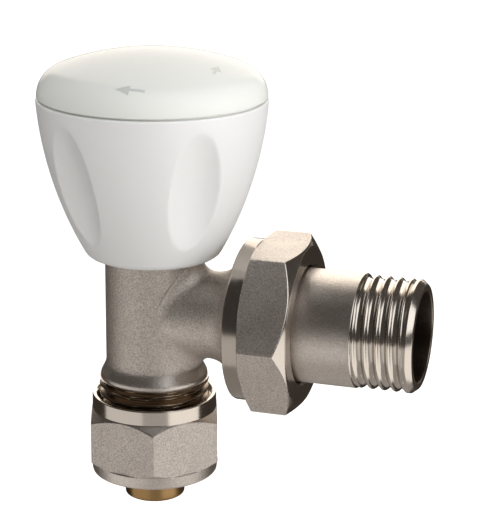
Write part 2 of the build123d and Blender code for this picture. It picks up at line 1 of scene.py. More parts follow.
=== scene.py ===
from math import asin, cos, hypot, pi, radians, sin, sqrt, tan

import bmesh
import bpy
import numpy as np
from mathutils import Matrix, Vector


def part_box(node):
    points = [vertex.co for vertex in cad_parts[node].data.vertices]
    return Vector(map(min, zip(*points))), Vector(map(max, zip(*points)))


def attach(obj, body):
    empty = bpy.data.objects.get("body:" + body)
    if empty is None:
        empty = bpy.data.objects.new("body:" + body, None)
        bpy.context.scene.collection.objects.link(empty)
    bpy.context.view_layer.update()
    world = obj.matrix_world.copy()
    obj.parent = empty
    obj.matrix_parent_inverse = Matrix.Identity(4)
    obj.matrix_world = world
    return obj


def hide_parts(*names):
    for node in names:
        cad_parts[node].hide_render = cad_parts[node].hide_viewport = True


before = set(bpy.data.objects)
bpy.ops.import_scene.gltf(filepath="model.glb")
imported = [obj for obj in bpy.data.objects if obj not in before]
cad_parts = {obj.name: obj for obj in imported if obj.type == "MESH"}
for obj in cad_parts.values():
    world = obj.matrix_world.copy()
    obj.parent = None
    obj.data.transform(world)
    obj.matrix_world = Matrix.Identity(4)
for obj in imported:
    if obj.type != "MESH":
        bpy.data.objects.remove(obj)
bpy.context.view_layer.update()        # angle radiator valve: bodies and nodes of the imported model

scene = bpy.context.scene
scene.view_settings.view_transform = "Standard"
MM = 0.001


def span(node, axis):
    """Lowest and highest place of a CAD node along an axis, in mm."""
    low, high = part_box(node)
    return low[axis] / MM, high[axis] / MM


# Heights on the spindle axis and stations on the outlet axis, in mm, from the frame
insert_foot, insert_top = span("pipe_insert", 2)
nut_foot, nut_top = span("compression_nut", 2)
body_foot, barrel_top = span("valve_body", 2)
wheel_foot, wheel_rim = span("handwheel", 2)
cap_foot, cap_top = span("handwheel_cap", 2)
union_start, union_end = span("union_nut", 0)
tail_end = span("tailpiece", 0)[1]
body_end = span("valve_body", 0)[1]
outlet_z = sum(span("tailpiece", 2)) / 2

# Pipe threads, in mm
PITCH = 1.814
THREAD_DEPTH = 1.1
# The tail's turns are as far apart, and as shallow, as the photograph shows them
TAIL_PITCH = 2.2
TAIL_DEPTH = 0.65
HALF_INCH = 10.4775
THREE_QUARTER_INCH = 13.2205


def add(tree, kind, inputs=(), **settings):
    """Adds a node, makes its settings, and sets its inputs or links them to a node or a socket."""
    made = tree.nodes.new(kind)
    for name, value in settings.items():
        setattr(made, name, value)
    for key, value in dict(inputs).items():
        socket = made.inputs[key]
        if isinstance(value, bpy.types.Node):
            value = next(output for output in value.outputs if output.enabled)
        if isinstance(value, bpy.types.NodeSocket):
            tree.links.new(value, socket)
        else:
            socket.default_value = value
    return made


def work_out(tree, values, steps):
    """Adds a Math node for each step: its name, its operation, and its operands by name or as numbers."""
    for name, operation, *operands in steps:
        links = {place: values.get(operand, operand) for place, operand in enumerate(operands)}
        values[name] = add(tree, "ShaderNodeMath", links, operation=operation)


def reshaping(name, sizes, steps):
    """Geometry tree that moves a turned blank's points in or out: the steps give their new radius."""
    tree = bpy.data.node_groups.new(name, "GeometryNodeTree")
    tree.interface.new_socket("Blank", in_out="INPUT", socket_type="NodeSocketGeometry")
    for size in sizes:
        tree.interface.new_socket(size, in_out="INPUT", socket_type="NodeSocketFloat")
    tree.interface.new_socket("Finish", in_out="INPUT", socket_type="NodeSocketMaterial")
    tree.interface.new_socket("Piece", in_out="OUTPUT", socket_type="NodeSocketGeometry")
    given = add(tree, "NodeGroupInput")
    place = add(tree, "ShaderNodeSeparateXYZ", {0: add(tree, "GeometryNodeInputPosition")})
    values = {"x": place.outputs["X"], "y": place.outputs["Y"], "z": place.outputs["Z"]}
    values.update({size: given.outputs[size] for size in sizes})
    polar = [
        ("xx", "MULTIPLY", "x", "x"),
        ("rr", "MULTIPLY_ADD", "y", "y", "xx"),
        ("radius", "SQRT", "rr"),
        ("angle", "ARCTAN2", "y", "x"),
    ]
    limits = [
        ("outer", "GREATER_THAN", "radius", "Inner limit"),
        ("above", "GREATER_THAN", "z", "Low"),
        ("below", "LESS_THAN", "z", "High"),
        ("between", "MULTIPLY", "above", "below"),
        ("shape", "MULTIPLY", "outer", "between"),
        ("scale", "DIVIDE", "new", "radius"),
        ("new x", "MULTIPLY", "x", "scale"),
        ("new y", "MULTIPLY", "y", "scale"),
    ]
    work_out(tree, values, polar + steps + limits)
    moved = add(tree, "ShaderNodeCombineXYZ", {"X": values["new x"], "Y": values["new y"], "Z": values["z"]})
    shaped = add(
        tree,
        "GeometryNodeSetPosition",
        {"Geometry": given.outputs["Blank"], "Selection": values["shape"], "Position": moved},
    )
    real = add(tree, "GeometryNodeRealizeInstances", {"Geometry": shaped})
    finished = add(tree, "GeometryNodeSetMaterial", {"Geometry": real, "Material": given.outputs["Finish"]})
    add(tree, "NodeGroupOutput", {"Piece": finished})
    return tree


# A right-hand thread with rounded crests and roots, which fades in and out at its ends. Where Crest is over 1,
# the crests are narrower than the roots.
screw_thread = reshaping(
    "screw_thread",
    ["Major radius", "Depth", "Pitch", "Crest", "Low", "High", "Fade in", "Fade out", "Inner limit"],
    [
        ("turn", "DIVIDE", "angle", 2 * pi),
        ("lead", "DIVIDE", "z", "Pitch"),
        ("phase", "SUBTRACT", "lead", "turn"),
        ("around", "MULTIPLY", "phase", 2 * pi),
        ("swing", "COSINE", "around"),
        ("ridge", "MULTIPLY_ADD", "swing", 0.5, 0.5),
        ("crest", "POWER", "ridge", "Crest"),
        ("groove", "SUBTRACT", 1.0, "crest"),
        ("from low", "SUBTRACT", "z", "Low"),
        ("rise", "DIVIDE", "from low", "Fade in"),
        ("to high", "SUBTRACT", "High", "z"),
        ("fall", "DIVIDE", "to high", "Fade out"),
        ("fade", "MINIMUM", "rise", "fall"),
        ("fade up", "MAXIMUM", "fade", 0.0),
        ("fade full", "MINIMUM", "fade up", 1.0),
        ("cut", "MULTIPLY", "groove", "fade full"),
        ("drop", "MULTIPLY", "cut", "Depth"),
        ("floor", "SUBTRACT", "Major radius", "drop"),
        ("new", "MINIMUM", "radius", "floor"),
    ],
)

# The six flats of a nut
hex_flats = reshaping(
    "hex_flats",
    ["Across flats", "Corner angle", "Softness", "Low", "High", "Inner limit"],
    [
        ("from corner", "SUBTRACT", "angle", "Corner angle"),
        ("from flat", "SUBTRACT", "from corner", pi / 6),
        ("off flat", "WRAP", "from flat", pi / 6, -pi / 6),
        ("slant", "COSINE", "off flat"),
        ("half", "MULTIPLY", "Across flats", 0.5),
        ("flat", "DIVIDE", "half", "slant"),
        ("new", "SMOOTH_MIN", "radius", "flat", "Softness"),
    ],
)

# Finger flutes of the hand wheel: round hollows whose bottoms lean with the wheel's side and bow inwards
finger_flutes = reshaping(
    "finger_flutes",
    ["Count", "First angle", "Flute radius", "Middle", "Bottom", "Slope", "Bow", "Softness",
     "Low", "High", "Inner limit"],
    [
        ("from first", "SUBTRACT", "angle", "First angle"),
        ("half", "DIVIDE", pi, "Count"),
        ("minus half", "MULTIPLY", "half", -1.0),
        ("off", "WRAP", "from first", "half", "minus half"),
        ("rise", "SUBTRACT", "z", "Middle"),
        ("rise rise", "MULTIPLY", "rise", "rise"),
        ("leaning", "MULTIPLY_ADD", "rise", "Slope", "Bottom"),
        ("bottom", "MULTIPLY_ADD", "rise rise", "Bow", "leaning"),
        ("axis", "ADD", "bottom", "Flute radius"),
        ("c", "COSINE", "off"),
        ("s", "SINE", "off"),
        ("ahead", "MULTIPLY", "axis", "c"),
        ("beside", "MULTIPLY", "axis", "s"),
        ("beside beside", "MULTIPLY", "beside", "beside"),
        ("square", "MULTIPLY", "Flute radius", "Flute radius"),
        ("under root", "SUBTRACT", "square", "beside beside"),
        ("not below", "MAXIMUM", "under root", 0.0),
        ("root", "SQRT", "not below"),
        ("hollow", "SUBTRACT", "ahead", "root"),
        ("new", "SMOOTH_MIN", "radius", "hollow", "Softness"),
    ],
)

# The fillet at the neck's root: the neck widens by an arc where it nears the barrel, which is upright
neck_fillet = reshaping(
    "neck_fillet",
    ["Neck radius", "Barrel radius", "Fillet", "Low", "High", "Inner limit"],
    [
        ("side", "DIVIDE", "y", "radius"),
        ("off", "MULTIPLY", "side", "Neck radius"),
        ("off off", "MULTIPLY", "off", "off"),
        ("square", "MULTIPLY", "Barrel radius", "Barrel radius"),
        ("chord", "SUBTRACT", "square", "off off"),
        ("seam", "SQRT", "chord"),
        ("from seam", "SUBTRACT", "z", "seam"),
        ("off side", "MULTIPLY", "off", "side"),
        ("lean", "DIVIDE", "off side", "Barrel radius"),
        ("between", "ARCCOSINE", "lean"),
        ("half", "MULTIPLY", "between", 0.5),
        ("half slope", "TANGENT", "half"),
        ("reach", "MULTIPLY", "half slope", "Fillet"),
        ("sine", "SINE", "between"),
        ("deepest", "MULTIPLY", "sine", "Fillet"),
        ("back", "SUBTRACT", "reach", "from seam"),
        ("held", "MINIMUM", "back", "deepest"),
        ("into", "MAXIMUM", "held", 0.0),
        ("into into", "MULTIPLY", "into", "into"),
        ("round", "MULTIPLY", "Fillet", "Fillet"),
        ("rest", "SUBTRACT", "round", "into into"),
        ("not below", "MAXIMUM", "rest", 0.0),
        ("arc", "SQRT", "not below"),
        ("widening", "SUBTRACT", "Fillet", "arc"),
        ("new", "ADD", "radius", "widening"),
    ],
)


def rounded(corners, steps=4):
    """Section whose corners are (radius, height) or, where they are rounded, (radius, height, cut-back)."""
    points = []
    for number, (radius, height, *round_off) in enumerate(corners):
        here = np.array((radius, height), float)
        if not round_off:
            points.append(here)
            continue
        before = np.array(corners[number - 1][:2], float) - here
        after = np.array(corners[(number + 1) % len(corners)][:2], float) - here
        start = here + before * round_off[0] / np.linalg.norm(before)
        end = here + after * round_off[0] / np.linalg.norm(after)
        for t in np.linspace(0, 1, steps + 1):
            points.append((1 - t) ** 2 * start + 2 * t * (1 - t) * here + t * t * end)
    return points


def lathe(corners, sides, step, fine=None):
    """Turned mesh about Z in mm, from the corners of its section. No stretch of it is longer than step.

    Where fine is given, stretches between its two heights and outside its radius keep to its shorter step.
    """
    section = rounded(corners)
    rings = []
    for here, after in zip(section, section[1:] + section[:1]):
        longest = step
        if fine:
            low, high, inner, shorter = fine
            radius, height = (here + after) / 2
            longest = shorter if low < height < high and radius > inner else step
        count = max(1, int(np.ceil(np.linalg.norm(after - here) / longest)))
        rings += [here + (after - here) * part / count for part in range(count)]
    radii, heights = np.array(rings).T
    angles = np.arange(sides) * 2 * pi / sides
    around = np.stack([np.outer(radii, np.cos(angles)), np.outer(radii, np.sin(angles))], axis=2)
    points = np.concatenate([around, np.repeat(heights[:, None, None], sides, axis=1)], axis=2)
    ring = np.arange(len(rings))[:, None] * sides
    next_ring = np.roll(ring, -1, axis=0)
    side = np.arange(sides)[None]
    next_side = (side + 1) % sides
    faces = np.stack([ring + side, ring + next_side, next_ring + next_side, next_ring + side], axis=2)
    mesh = bpy.data.meshes.new("blank")
    mesh.from_pydata(points.reshape(-1, 3).tolist(), [], faces.reshape(-1, 4).tolist())
    return closed(mesh)


def closed(mesh):
    """Merges a mesh's doubled points and turns its faces outwards."""
    work = bmesh.new()
    work.from_mesh(mesh)
    bmesh.ops.remove_doubles(work, verts=work.verts, dist=1e-5)
    bmesh.ops.dissolve_degenerate(work, edges=work.edges, dist=1e-5)
    bmesh.ops.recalc_face_normals(work, faces=work.faces)
    work.to_mesh(mesh)
    work.free()
    return mesh


def made_plain(carrier):
    """Plain mesh of an object as its modifiers leave it. The object is removed."""
    graph = bpy.context.evaluated_depsgraph_get()
    mesh = bpy.data.meshes.new_from_object(carrier.evaluated_get(graph), depsgraph=graph)
    bpy.data.objects.remove(carrier)
    return mesh


def carrying(mesh):
    """Object that carries a mesh while modifiers work on it."""
    carrier = bpy.data.objects.new("blank", mesh)
    scene.collection.objects.link(carrier)
    return carrier


def shaped(mesh, tree, **sizes):
    """A blank after a geometry tree, with the tree's inputs given by name."""
    carrier = carrying(mesh)
    modifier = carrier.modifiers.new("shape", "NODES")
    modifier.node_group = tree
    for item in tree.interface.items_tree:
        name = item.name.replace(" ", "_").lower()
        if item.in_out == "INPUT" and name in sizes:
            modifier[item.identifier] = float(sizes[name])
    return made_plain(carrier)


def joined(mesh, other, operation):
    """Two closed meshes after a boolean operation."""
    carrier, tool = carrying(mesh), carrying(other)
    modifier = carrier.modifiers.new("cut", "BOOLEAN")
    modifier.operation = operation
    modifier.solver = "MANIFOLD"
    modifier.object = tool
    plain = made_plain(carrier)
    bpy.data.objects.remove(tool)
    return plain


def turned_bar(radius, low, high, sides=96):
    """Round bar about Z in mm. With six sides it is a hexagonal one, with a corner towards +X."""
    return lathe([(0, low), (radius, low), (radius, high), (0, high)], sides, step=1000)


# A turned mesh is in mm about Z. Along the outlet its Z goes to +X, and its +X to -Z.
ON_OUTLET = Matrix.Translation((0, 0, outlet_z)) @ Matrix.Rotation(pi / 2, 4, "Y")
UPRIGHT = Matrix.Scale(MM, 4)
ALONG = UPRIGHT @ ON_OUTLET
SHARP_EDGE = radians(35)


def piece(name, mesh, place, body, node, finishes, choose=None):
    """Object made of a mesh in mm, which stands in for a CAD node where one is given.

    choose gives the number of each face's finish, from its centre and its normal before the mesh is placed.
    """
    mesh.materials.clear()
    for coat in finishes:
        mesh.materials.append(coat)
    if choose:
        for face in mesh.polygons:
            face.material_index = choose(face.center, face.normal)
    mesh.transform(place)
    mesh.name = name
    mesh.shade_smooth()
    mesh.set_sharp_from_angle(angle=SHARP_EDGE)
    made = bpy.data.objects.new(name, mesh)
    scene.collection.objects.link(made)
    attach(made, body)
    if node:
        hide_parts(node)


def linear(code):
    """Linear colour from an sRGB hex code."""
    channels = [int(code[place:place + 2], 16) / 255 for place in (1, 3, 5)]
    return [c / 12.92 if c <= 0.04045 else ((c + 0.055) / 1.055) ** 2.4 for c in channels] + [1.0]


def finish(name, **settings):
    """New material with a Principled shader that has these settings, and its tree."""
    material = bpy.data.materials.new(name)
    material.use_nodes = True
    tree = material.node_tree
    shader = tree.nodes["Principled BSDF"]
    for socket, value in settings.items():
        shader.inputs[socket.replace("_", " ")].default_value = value
    return material, tree, shader


def mottled(tree, shader, dark, light, blotch_mm, rough_low, rough_high):
    """Slight change of colour and gloss over a surface, in soft blotches of a size in mm."""
    place = add(tree, "ShaderNodeTexCoord")
    blotches = add(
        tree,
        "ShaderNodeTexNoise",
        {"Vector": place.outputs["Object"], "Scale": 1 / (blotch_mm * MM), "Detail": 3.0, "Roughness": 0.55},
    )
    tint = add(
        tree,
        "ShaderNodeMix",
        {"Factor": blotches.outputs[0], "A": linear(dark), "B": linear(light)},
        data_type="RGBA",
    )
    gloss = add(
        tree,
        "ShaderNodeMapRange",
        {"Value": blotches.outputs[0], "From Min": 0.3, "From Max": 0.7, "To Min": rough_low, "To Max": rough_high},
    )
    tree.links.new(next(s for s in tint.outputs if s.enabled), shader.inputs["Base Color"])
    tree.links.new(gloss.outputs[0], shader.inputs["Roughness"])
    return place


def grained(tree, shader, place, grain_mm, roughness, strength, depth_mm):
    """Fine grain on a surface, with a width and a depth in mm. Gives the grain's value."""
    grain = add(
        tree,
        "ShaderNodeTexNoise",
        {"Vector": place.outputs["Object"], "Scale": 1 / (grain_mm * MM), "Detail": 2.0, "Roughness": roughness},
    )
    relief = {"Height": grain.outputs[0], "Strength": strength, "Distance": depth_mm * MM}
    tree.links.new(add(tree, "ShaderNodeBump", relief).outputs[0], shader.inputs["Normal"])
    return grain.outputs[0]


def tool_rings(tree, shader, place, axis, spacing_mm, wander, strength, depth_mm):
    """Rings that a turning tool leaves across an axis, with a spacing and a depth in mm."""
    rings = add(
        tree,
        "ShaderNodeTexWave",
        {
            "Vector": place.outputs["Object"],
            "Scale": 2 * pi / (20 * spacing_mm * MM),
            "Distortion": wander,
            "Detail": 1.0,
        },
        bands_direction=axis,
    )
    relief = {"Height": rings.outputs["Fac"], "Strength": strength, "Distance": depth_mm * MM}
    tree.links.new(add(tree, "ShaderNodeBump", relief).outputs[0], shader.inputs["Normal"])


# Brass nickel-plated over a bead-blasted surface: a warm grey metal whose fine grain scatters the light.
# The grain is drawn at 0.3 mm, coarser than the real one, so that it shows in the render.
def blasted_nickel(name, rough_low, rough_high, coarseness):
    material, tree, shader = finish(name, Metallic=1.0)
    place = mottled(tree, shader, "#D8D0C9", "#E3DBD4", 6.0, rough_low, rough_high)
    grain = grained(tree, shader, place, grain_mm=0.3, roughness=0.6, strength=coarseness, depth_mm=0.1)
    darkest, lightest = 1 - 0.3 * coarseness, 1 + 0.2 * coarseness
    speck = add(
        tree,
        "ShaderNodeMapRange",
        {"Value": grain, "From Min": 0.3, "From Max": 0.7, "To Min": darkest, "To Max": lightest},
    )
    tint = shader.inputs["Base Color"].links[0].from_socket
    dusted = add(tree, "ShaderNodeVectorMath", {0: tint, 1: speck}, operation="MULTIPLY")
    tree.links.new(dusted.outputs[0], shader.inputs["Base Color"])
    return material


# Nickel plate over a turned surface: nearly a mirror, with the tool's rings across the axis.
# The rings are drawn 1.4 mm apart, coarser than the real ones, so that they show in the render.
def turned_nickel(name, axis, rough_low, rough_high, dark="#C7BFB6", light="#D1C9C0"):
    material, tree, shader = finish(name, Metallic=1.0)
    place = mottled(tree, shader, dark, light, 9.0, rough_low, rough_high)
    tool_rings(tree, shader, place, axis, spacing_mm=1.382, wander=1.2, strength=0.10, depth_mm=0.02)
    return material


# Raw brass as it comes off the lathe: yellow-brown, half dull, with tool rings that are drawn coarser too.
def turned_brass():
    material, tree, shader = finish("raw_brass_turned", Metallic=1.0)
    place = mottled(tree, shader, "#93734A", "#AE8E62", 4.0, 0.24, 0.36)
    tool_rings(tree, shader, place, "Z", spacing_mm=1.885, wander=1.0, strength=0.25, depth_mm=0.03)
    return material


# White ABS from a mould: a soft satin white, or a glossier one, whose skin is very slightly uneven.
def moulded_abs(name, dark, light, rough_low, rough_high, skin, gleam):
    material, tree, shader = finish(name, IOR=1.53, Specular_IOR_Level=gleam)
    place = mottled(tree, shader, dark, light, 14.0, rough_low, rough_high)
    grained(tree, shader, place, grain_mm=0.5, roughness=0.5, strength=skin, depth_mm=0.03)
    return material


# Pieces with an even surface: printed ink, zinc-plated steel screws and rings with a dull shine, EPDM rubber seals
# with a dark bloom, and natural nylon, which is a creamy white.
def plain_finish(name, dark, light, blotch_mm, rough_low, rough_high, **settings):
    material, tree, shader = finish(name, **settings)
    mottled(tree, shader, dark, light, blotch_mm, rough_low, rough_high)
    return material


nickel_blasted = blasted_nickel("nickel_plate_blasted", 0.48, 0.58, 1.0)
# The tail's tube, the barrel's foot, and the foot and upper chamfers of the pipe nut are turned and lightly blasted
nickel_satin = blasted_nickel("nickel_plate_satin", 0.34, 0.42, 0.6)
nickel_turned_x = turned_nickel("nickel_plate_turned_x", "X", 0.14, 0.22)
nickel_turned_z = turned_nickel("nickel_plate_turned_z", "Z", 0.12, 0.20)
# The union nut's collar has a slightly rougher copy of the turned plate whose colour is darker: painted shade, which
# dims its reflections
nickel_collar_painted_shade = turned_nickel("nickel_plate_turned_collar", "X", 0.16, 0.24, "#ACA49B", "#B6AEA5")
# Inside the bores and on the foot's thread the plate is a darker, browner copy: painted shade in these hollows and
# between the parts
nickel_bored_painted_shade = turned_nickel("nickel_plate_bored", "X", 0.24, 0.34, "#8C8176", "#9C9186")
nickel_thread_painted_shade = turned_nickel("nickel_plate_thin_on_thread", "Z", 0.18, 0.28, "#7C6C5C", "#92826F")
ink = plain_finish("grey_pad_print_ink", "#CDCFCC", "#D4D6D3", 1.0, 0.4, 0.5)
brass = turned_brass()
satin_abs = moulded_abs("white_abs_satin", "#EEEEED", "#F2F2F1", 0.38, 0.46, skin=0.12, gleam=0.3)
gloss_abs = moulded_abs("white_abs_gloss", "#EEEFEA", "#F1F2ED", 0.2, 0.26, skin=0.04, gleam=0.08)
zinc_steel = plain_finish("zinc_plated_steel", "#9FA2A3", "#B9BBBA", 2.0, 0.25, 0.4, Metallic=1.0)
epdm = plain_finish("epdm_rubber_moulded", "#17181A", "#232426", 1.5, 0.5, 0.65, IOR=1.5)
nylon = plain_finish("nylon_natural_moulded", "#E4DECF", "#ECE7DA", 3.0, 0.35, 0.45, IOR=1.53)

# The CAD nodes inside the valve stay, with these finishes
SEALS = ["bonnet_o_ring", "spindle_o_rings", "tail_o_ring", "insert_o_rings", "insert_seat_o_ring", "seat_washer"]
KEPT = [
    (brass, ["bonnet", "spindle", "disc_holder", "split_ring"]),
    (zinc_steel, ["holder_snap_ring", "washer_screw", "handwheel_screw", "screw_washer"]),
    (epdm, SEALS),
    (nylon, ["insulating_washer"]),
]
for coat, nodes in KEPT:
    for node in nodes:
        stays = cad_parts[node]
        stays.data.materials.clear()
        stays.data.materials.append(coat)

# Hand wheel: a hollow cup whose side is an arc, with five finger flutes and a thin lip round the cap
WHEEL_FOOT, WHEEL_MIDDLE, WHEEL_RIM = 12.4, 18.8, 21.5
WHEEL_WALL = 3.0
FLUTE_COUNT, FLUTE_ANGLE = 5, 43.7 - 90
FLUTE_RADIUS, FLUTE_BOW = 9.2, 75.0
FLUTE_FOOT, FLUTE_TOP = wheel_foot + 4.2, wheel_rim - 2.6


def wheel_side(height, inset=0.0):
    """Radius of the hand wheel's side at a height: an arc through its foot, middle and rim."""
    half = (wheel_rim - wheel_foot) / 2
    low, high = WHEEL_FOOT - WHEEL_MIDDLE, WHEEL_RIM - WHEEL_MIDDLE
    out = (low ** 2 + high ** 2 + 2 * half ** 2) / (2 * (low + high))
    up = (high ** 2 + half ** 2 - 2 * high * out) / (2 * half)
    above = height - wheel_foot - half - up
    return WHEEL_MIDDLE + out + sqrt(out ** 2 + up ** 2 - above ** 2) - inset


def hand_wheel():
    sleeve, sleeve_wall, hub, screw_hole = 10.4, 1.8, 5.5, 2.08
    hub_foot, hub_top = wheel_foot + 15.1, wheel_foot + 21.65
    web_foot = hub_top - 2.0
    cavity_foot = wheel_foot + 7.5
    outside = [(wheel_side(z), z) for z in np.linspace(wheel_foot + 1.2, wheel_rim - 0.7, 60)]
    inside = [(wheel_side(z, WHEEL_WALL), z) for z in np.linspace(wheel_rim, cavity_foot, 24)]
    section = [
        (sleeve, wheel_foot, 0.4),
        (wheel_side(wheel_foot), wheel_foot, 1.1),
        *outside,
        (wheel_side(wheel_rim), wheel_rim, 0.45),
        *inside,
        (sleeve + sleeve_wall, cavity_foot),
        (sleeve + sleeve_wall, hub_top),
        (screw_hole, hub_top),
        (screw_hole, hub_foot),
        (hub, hub_foot),
        (hub, web_foot),
        (sleeve, web_foot),
    ]
    run = FLUTE_TOP - FLUTE_FOOT
    narrow, wide = wheel_side(FLUTE_FOOT), wheel_side(FLUTE_TOP)
    bow = hypot(run, wide - narrow) ** 2 / (8 * FLUTE_BOW)
    return shaped(
        lathe(section, sides=400, step=0.6),
        finger_flutes,
        count=FLUTE_COUNT,
        first_angle=radians(FLUTE_ANGLE),
        flute_radius=FLUTE_RADIUS,
        middle=(FLUTE_FOOT + FLUTE_TOP) / 2,
        bottom=(narrow + wide) / 2 - bow,
        slope=(wide - narrow) / run,
        bow=bow / (run / 2) ** 2,
        softness=0.12,
        low=wheel_foot + 0.5,
        high=wheel_rim - 0.5,
        inner_limit=12.3,
    )


piece("hand_wheel", hand_wheel(), UPRIGHT, "handwheel_assembly", "handwheel", [satin_abs])

# Cap: a shallow dome, with a shoulder that turns down to its edge round CAP_TURN and CAP_TURN_Z.
# Its notch and the gap under its edge let it be prised off.
CAP_EDGE, CAP_DOME, CAP_SHOULDER = 21.3, 52.0, 5.5
CAP_CENTRE = cap_top - CAP_DOME
CAP_TURN = CAP_EDGE - CAP_SHOULDER
CAP_TURN_Z = CAP_CENTRE + sqrt((CAP_DOME - CAP_SHOULDER) ** 2 - CAP_TURN ** 2)
NOTCH_ANGLE, NOTCH_RADIUS = 53.2 - 90, 0.6


def arc(radius, start, end, count, out=0.0, up=0.0):
    """Places on an arc round (out, up), between two angles from +Z."""
    return [(out + radius * sin(a), up + radius * cos(a)) for a in np.linspace(start, end, count)]


def wheel_cap():
    gap, gap_depth = 0.42, 0.8
    skirt = wheel_side(cap_foot, WHEEL_WALL) - 0.12
    bore = skirt - 1.2
    inner = CAP_DOME - 1.8
    bend = asin(CAP_TURN / (CAP_DOME - CAP_SHOULDER))
    section = [
        *arc(CAP_DOME, 0, bend, 30, up=CAP_CENTRE)[:-1],
        *arc(CAP_SHOULDER, bend, pi / 2, 16, CAP_TURN, CAP_TURN_Z),
        (CAP_EDGE, wheel_rim + gap, 0.15),
        (CAP_EDGE - gap_depth, wheel_rim + gap),
        (CAP_EDGE - gap_depth, wheel_rim),
        (skirt, wheel_rim),
        (skirt, cap_foot),
        (bore, cap_foot),
        *arc(inner, asin(bore / inner), 0, 16, up=CAP_CENTRE),
    ]
    notch = turned_bar(NOTCH_RADIUS, CAP_EDGE - 0.6, CAP_EDGE + 0.6, sides=32)
    turn = Matrix.Rotation(radians(NOTCH_ANGLE), 4, "Z") @ Matrix.Rotation(pi / 2, 4, "Y")
    notch.transform(Matrix.Translation((0, 0, wheel_rim)) @ turn)
    return joined(lathe(section, sides=256, step=2.0), notch, "DIFFERENCE")


piece("wheel_cap", wheel_cap(), UPRIGHT, "handwheel_assembly", "handwheel_cap", [gloss_abs])


def cap_height(x, y):
    """Height of the cap's outside over a place."""
    out = hypot(x, y)
    if out < CAP_DOME * CAP_TURN / (CAP_DOME - CAP_SHOULDER):
        return CAP_CENTRE + sqrt(CAP_DOME ** 2 - out ** 2)
    return CAP_TURN_Z + sqrt(CAP_SHOULDER ** 2 - (out - CAP_TURN) ** 2)


def printed_arrow(name, tail, tip):
    """Turning arrow printed on the cap, between two places in mm."""
    head, half_head, half_shaft, half_point = 2.6, 1.0, 0.25, 0.03
    over, under = 0.02, -0.05
    apart = 0.02
    tail, tip = Vector(tail), Vector(tip)
    ahead = (tip - tail).normalized()
    left = Vector((-ahead.y, ahead.x))
    shaft = (tip - tail).length - head
    stations = []
    for part in np.linspace(0, 1, 9):
        stations.append((shaft * part, half_shaft))
    for part in np.linspace(0, 1, 9):
        stations.append((shaft + apart + (head - 2 * apart) * part, half_head + (half_point - half_head) * part))
    sides = np.linspace(-1, 1, 7)
    outline = [(over, -side) for side in sides] + [(under, side) for side in sides]
    around = len(outline)
    points, faces = [], []
    for along, half in stations:
        for lift, side in outline:
            place = tail + ahead * along + left * half * side
            points.append((place.x, place.y, cap_height(place.x, place.y) + lift))
    for ring in range(0, len(points) - around, around):
        for corner in range(around):
            after = (corner + 1) % around
            faces.append((ring + corner, ring + after, ring + around + after, ring + around + corner))
    last = len(points) - around
    faces += [tuple(range(around))[::-1], tuple(range(last, last + around))]
    mesh = bpy.data.meshes.new(name)
    mesh.from_pydata(points, [], faces)
    piece(name, closed(mesh), UPRIGHT, "handwheel_assembly", None, [ink])


printed_arrow("cap_arrow_front", (5.3, -18.3), (0.0, -18.9))
printed_arrow("cap_arrow_side", (14.0, -6.5), (13.5, -2.2))

# Valve body: barrel and neck, with a pipe thread on its foot and the union thread on its outlet
BARREL, COLLAR, NECK = 9.15, 10.2, 8.25
FOOT_THREAD_TOP = body_foot + 11.4
COLLAR_TOP = FOOT_THREAD_TOP + 0.8
BARREL_START = COLLAR_TOP + 2.0
UNION_THREAD_START = body_end - 5.8
FLARE_RISE, FLARE_RUN = 3.6, 5.5
FLARE_END = UNION_THREAD_START - 1.0


def neck_flare(part):
    """Radius of the neck's hollow flare, which is an arc, after a part of its length."""
    radius = (FLARE_RUN ** 2 + FLARE_RISE ** 2) / (2 * FLARE_RISE)
    return NECK + radius - sqrt(radius ** 2 - (part * FLARE_RUN) ** 2)


def threaded_barrel():
    foot_chamfer = 1.0
    blank = lathe(
        [
            (0, body_foot),
            (HALF_INCH - foot_chamfer, body_foot),
            (HALF_INCH, body_foot + foot_chamfer),
            (HALF_INCH, FOOT_THREAD_TOP),
            (COLLAR, FOOT_THREAD_TOP + 0.05, 0.1),
            (COLLAR, COLLAR_TOP, 0.3),
            (BARREL, BARREL_START, 0.9),
            (BARREL, barrel_top, 0.3),
            (0, barrel_top),
        ],
        sides=256,
        step=1.0,
        fine=(body_foot, FOOT_THREAD_TOP, 9.0, 0.12),
    )
    return shaped(
        blank,
        screw_thread,
        major_radius=HALF_INCH,
        depth=THREAD_DEPTH,
        pitch=PITCH,
        crest=1.0,
        low=body_foot - 0.01,
        high=FOOT_THREAD_TOP,
        fade_in=0.01,
        fade_out=0.6,
        inner_limit=8.5,
    )


def threaded_neck():
    start_chamfer, end_chamfer = 0.6, 0.5
    blank = lathe(
        [
            (0, 0),
            (NECK, 0),
            *[(neck_flare(part), FLARE_END - FLARE_RUN * (1 - part)) for part in np.linspace(0, 1, 24)],
            (neck_flare(1), UNION_THREAD_START),
            (THREE_QUARTER_INCH - start_chamfer, UNION_THREAD_START),
            (THREE_QUARTER_INCH, UNION_THREAD_START + start_chamfer),
            (THREE_QUARTER_INCH, body_end - end_chamfer),
            (THREE_QUARTER_INCH - end_chamfer, body_end),
            (0, body_end),
        ],
        sides=256,
        step=0.25,
        fine=(UNION_THREAD_START, body_end, 11.0, 0.1),
    )
    filleted = shaped(
        blank,
        neck_fillet,
        neck_radius=NECK,
        barrel_radius=BARREL,
        fillet=3.2,
        low=0.1,
        high=FLARE_END,
        inner_limit=NECK - 0.1,
    )
    return shaped(
        filleted,
        screw_thread,
        major_radius=THREE_QUARTER_INCH,
        depth=THREAD_DEPTH,
        pitch=PITCH,
        crest=1.0,
        low=UNION_THREAD_START,
        high=body_end + 0.01,
        fade_in=0.4,
        fade_out=0.01,
        inner_limit=11.8,
    )


